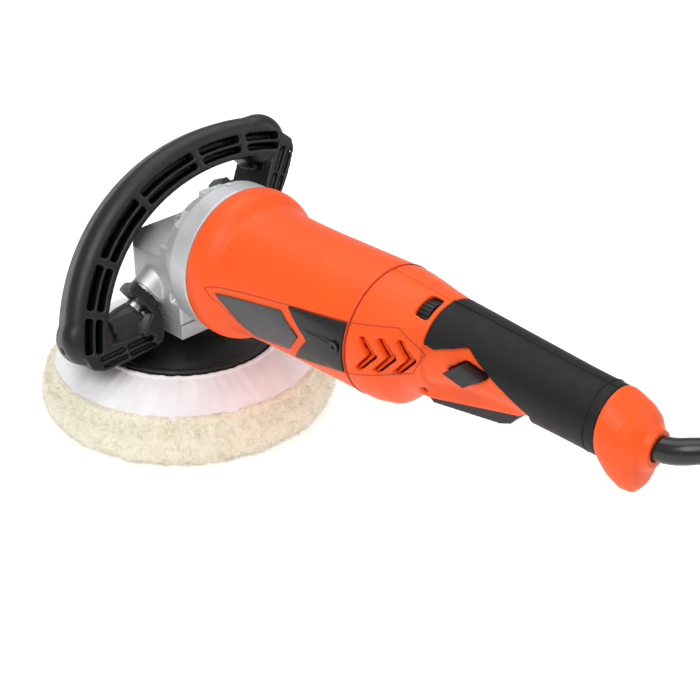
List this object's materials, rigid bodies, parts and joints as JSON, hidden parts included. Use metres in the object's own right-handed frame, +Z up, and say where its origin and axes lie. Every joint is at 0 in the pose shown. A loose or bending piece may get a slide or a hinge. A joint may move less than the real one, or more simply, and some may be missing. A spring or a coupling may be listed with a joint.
{
  "type": "rotary polisher",
  "caption": "Corded rotary polisher: wool bonnet on a geared spindle, cast gear case, barrel motor housing, hinged hoop front handle, trigger grip and mains lead.",
  "frame": {"origin": "centre of the working face of the pad, on the spindle axis", "axes": "+Z up along the spindle, +X from the spindle towards the tail, +Y towards the far side of the machine"},
  "size_m": [0.6885, 0.2262, 0.1847],
  "materials": {
    "wool_fleece": "deep clipped fleece",
    "cotton": "woven",
    "foam": "open-cell foam",
    "black_rubber": "moulded",
    "steel": "machined",
    "bright_steel": "ground",
    "spring_steel": "drawn wire",
    "gear_steel": "hardened",
    "bronze": "sintered",
    "cast_aluminium": "cast, satin",
    "orange_plastic": "fine grain",
    "black_plastic": "fine grain",
    "soft_grip": "soft, matt",
    "dark_plate": "satin",
    "white_plastic": "moulded",
    "laminations": "stacked",
    "copper": "enamelled wire",
    "carbon": "pressed carbon",
    "brass": "pressed",
    "circuit_board": "lacquered",
    "cable_sheath": "glossy PVC"
  },
  "bodies": {
    "machine": {"spindle_bearing": "bright_steel", "spindle_bush": "bronze", "bearing_plate": "cast_aluminium", "bearing_plate_screws": "steel", "gear_case": "cast_aluminium", "gear_case_screws": "steel", "spindle_lock_spring": "spring_steel", "front_bearing": "bright_steel", "rear_bearing": "bright_steel", "bearing_bridge": "black_plastic", "air_baffle": "black_plastic", "stator_core": "laminations", "field_coils": "copper", "motor_housing": "orange_plastic", "brush_holders": "brass", "carbon_brushes": "carbon", "brush_springs": "spring_steel", "brush_covers": "black_plastic", "brush_cover_screws": "steel", "side_plates": "dark_plate", "rear_housing_left": "orange_plastic", "rear_housing_right": "orange_plastic", "soft_grip": "soft_grip", "housing_screws": "steel", "trigger_pin": "steel", "trigger_spring": "spring_steel", "switch_body": "black_plastic", "lock_on_spring": "spring_steel", "speed_board": "circuit_board", "tail_cap": "orange_plastic", "cord_clamp": "black_plastic", "cord_guard": "cable_sheath", "cord": "cable_sheath", "cord_coil": "cable_sheath", "cord_end": "cable_sheath", "plug": "cable_sheath", "plug_pins": "bright_steel", "handle_bolts": "steel", "handle_washers": "steel"},
    "spindle_group": {"wool_bonnet": "wool_fleece", "bonnet_skirt": "cotton", "drawstring": "cotton", "foam_pad": "foam", "backing_plate": "black_rubber", "hub_nut": "steel", "spindle": "bright_steel", "crown_gear": "gear_steel"},
    "rotor": {"pinion": "gear_steel", "armature_shaft": "bright_steel", "armature_core": "laminations", "armature_winding": "copper", "commutator": "brass", "fan": "white_plastic"},
    "spindle_lock": {"spindle_lock_button": "black_plastic"},
    "trigger": {"trigger": "black_plastic"},
    "lock_on": {"lock_on_button": "black_plastic"},
    "dial": {"speed_dial": "black_plastic"},
    "handle": {"hoop_handle": "black_plastic"}
  },
  "joints": [
    {"name": "spindle_spin", "type": "hinge", "parent": "machine", "child": "spindle_group", "pos_m": [0, 0, 0], "axis": [0, 0, 1], "continuous": true},
    {"name": "rotor_spin", "type": "hinge", "parent": "machine", "child": "rotor", "pos_m": [0.1, 0, 0.124], "axis": [1, 0, 0], "continuous": true},
    {"name": "spindle_lock_press", "type": "slide", "parent": "machine", "child": "spindle_lock", "axis": [0, -1, 0], "range_m": [0, 0.0038], "stiffness_N_per_m": 600, "springref_m": -0.002, "deforming": ["spindle_lock_spring"]},
    {"name": "trigger_pull", "type": "hinge", "parent": "machine", "child": "trigger", "pos_m": [0.232, 0, 0.107], "axis": [0, -1, 0], "range_deg": [0, 6], "stiffness_Nm_per_rad": 1.2, "springref_deg": -8.59, "deforming": ["trigger_spring"]},
    {"name": "lock_on_press", "type": "slide", "parent": "machine", "child": "lock_on", "axis": [0, 1, 0], "range_m": [0, 0.003], "stiffness_N_per_m": 500, "springref_m": -0.002, "deforming": ["lock_on_spring"]},
    {"name": "dial_turn", "type": "hinge", "parent": "machine", "child": "dial", "pos_m": [0.231, -0.0075, 0.1486], "axis": [1, 0, 0], "range_deg": [0, 270]},
    {"name": "handle_tilt", "type": "hinge", "parent": "machine", "child": "handle", "pos_m": [0.005, 0, 0.114], "axis": [0, 0.848, 0.5299], "range_deg": [-5, 30]}
  ],
  "couplings": [
    {"joint": "rotor_spin", "follows": "spindle_spin", "ratio": 4.2222}
  ]
}
